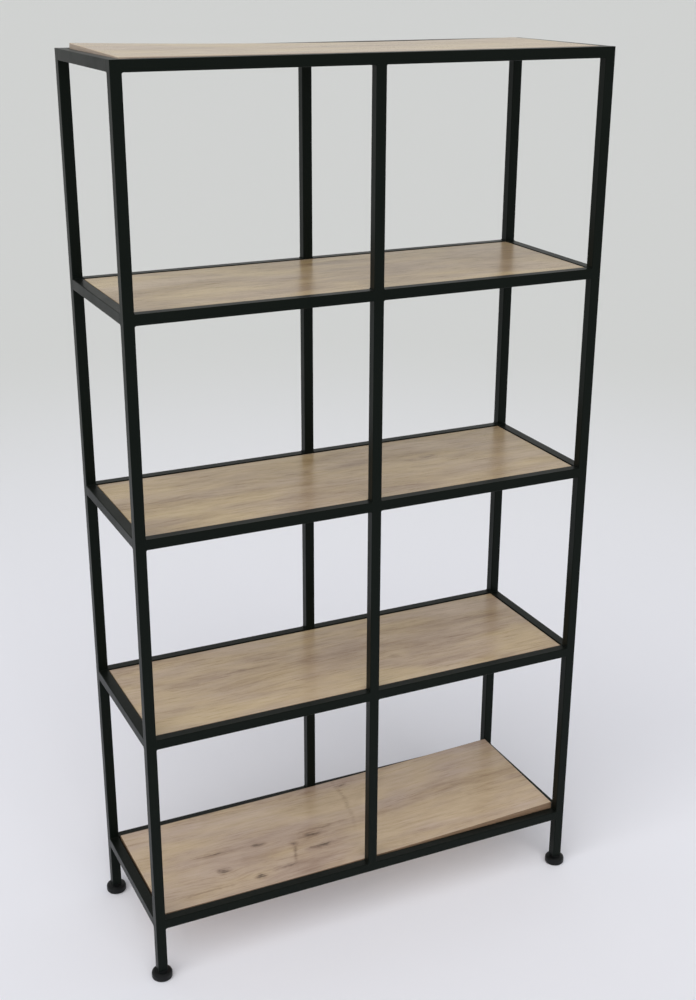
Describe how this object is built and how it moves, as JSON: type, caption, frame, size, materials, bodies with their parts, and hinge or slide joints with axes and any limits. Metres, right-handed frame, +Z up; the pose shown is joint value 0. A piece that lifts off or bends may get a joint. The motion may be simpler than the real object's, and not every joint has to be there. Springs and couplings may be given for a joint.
{
  "type": "open shelving unit",
  "caption": "Free-standing open shelf: a welded frame of black square steel tube that carries loose wood-look boards, on round levelling feet that screw in and out.",
  "frame": {"origin": "on the floor, under the middle of the shelf", "axes": "+Z up, +X to the right along the width, seen from the front, and the front at -Y"},
  "size_m": [0.982, 0.362, 1.789],
  "materials": {
    "black_powder_coat": "satin black powder coat",
    "oak_laminate": "matt pale greyed oak laminate on board",
    "black_plastic": "moulded, fine matt",
    "zinc_plated_steel": "bright zinc plate"
  },
  "bodies": {
    "root": {"post_front_left": "black_powder_coat", "post_front_left_top_plate": "black_powder_coat", "post_front_right": "black_powder_coat", "post_front_right_top_plate": "black_powder_coat", "post_rear_left": "black_powder_coat", "post_rear_left_top_plate": "black_powder_coat", "post_rear_right": "black_powder_coat", "post_rear_right_top_plate": "black_powder_coat", "post_front_centre": "black_powder_coat", "post_rear_centre": "black_powder_coat", "bottom_front_rail": "black_powder_coat", "bottom_rear_rail": "black_powder_coat", "bottom_left_rail": "black_powder_coat", "bottom_right_rail": "black_powder_coat", "bottom_cross_strap": "black_powder_coat", "lower_front_rail_left": "black_powder_coat", "lower_front_rail_right": "black_powder_coat", "lower_rear_rail_left": "black_powder_coat", "lower_rear_rail_right": "black_powder_coat", "lower_left_rail": "black_powder_coat", "lower_right_rail": "black_powder_coat", "lower_cross_strap": "black_powder_coat", "middle_front_rail_left": "black_powder_coat", "middle_front_rail_right": "black_powder_coat", "middle_rear_rail_left": "black_powder_coat", "middle_rear_rail_right": "black_powder_coat", "middle_left_rail": "black_powder_coat", "middle_right_rail": "black_powder_coat", "middle_cross_strap": "black_powder_coat", "upper_front_rail_left": "black_powder_coat", "upper_front_rail_right": "black_powder_coat", "upper_rear_rail_left": "black_powder_coat", "upper_rear_rail_right": "black_powder_coat", "upper_left_rail": "black_powder_coat", "upper_right_rail": "black_powder_coat", "upper_cross_strap": "black_powder_coat", "top_front_rail": "black_powder_coat", "top_rear_rail": "black_powder_coat", "top_left_rail": "black_powder_coat", "top_right_rail": "black_powder_coat", "top_cross_strap": "black_powder_coat", "bottom_board": "oak_laminate", "lower_board": "oak_laminate", "middle_board": "oak_laminate", "upper_board": "oak_laminate", "top_board": "oak_laminate", "foot_front_left_plug": "black_plastic", "foot_front_right_plug": "black_plastic", "foot_rear_left_plug": "black_plastic", "foot_rear_right_plug": "black_plastic"},
    "foot_front_left": {"foot_front_left_pad": "black_plastic", "foot_front_left_stem": "zinc_plated_steel"},
    "foot_front_right": {"foot_front_right_pad": "black_plastic", "foot_front_right_stem": "zinc_plated_steel"},
    "foot_rear_left": {"foot_rear_left_pad": "black_plastic", "foot_rear_left_stem": "zinc_plated_steel"},
    "foot_rear_right": {"foot_rear_right_pad": "black_plastic", "foot_rear_right_stem": "zinc_plated_steel"}
  },
  "joints": [
    {"name": "foot_front_left_height", "type": "slide", "parent": "root", "child": "foot_front_left", "axis": [0, 0, -1], "range_m": [0, 0.012]},
    {"name": "foot_front_right_height", "type": "slide", "parent": "root", "child": "foot_front_right", "axis": [0, 0, -1], "range_m": [0, 0.012]},
    {"name": "foot_rear_left_height", "type": "slide", "parent": "root", "child": "foot_rear_left", "axis": [0, 0, -1], "range_m": [0, 0.012]},
    {"name": "foot_rear_right_height", "type": "slide", "parent": "root", "child": "foot_rear_right", "axis": [0, 0, -1], "range_m": [0, 0.012]}
  ]
}
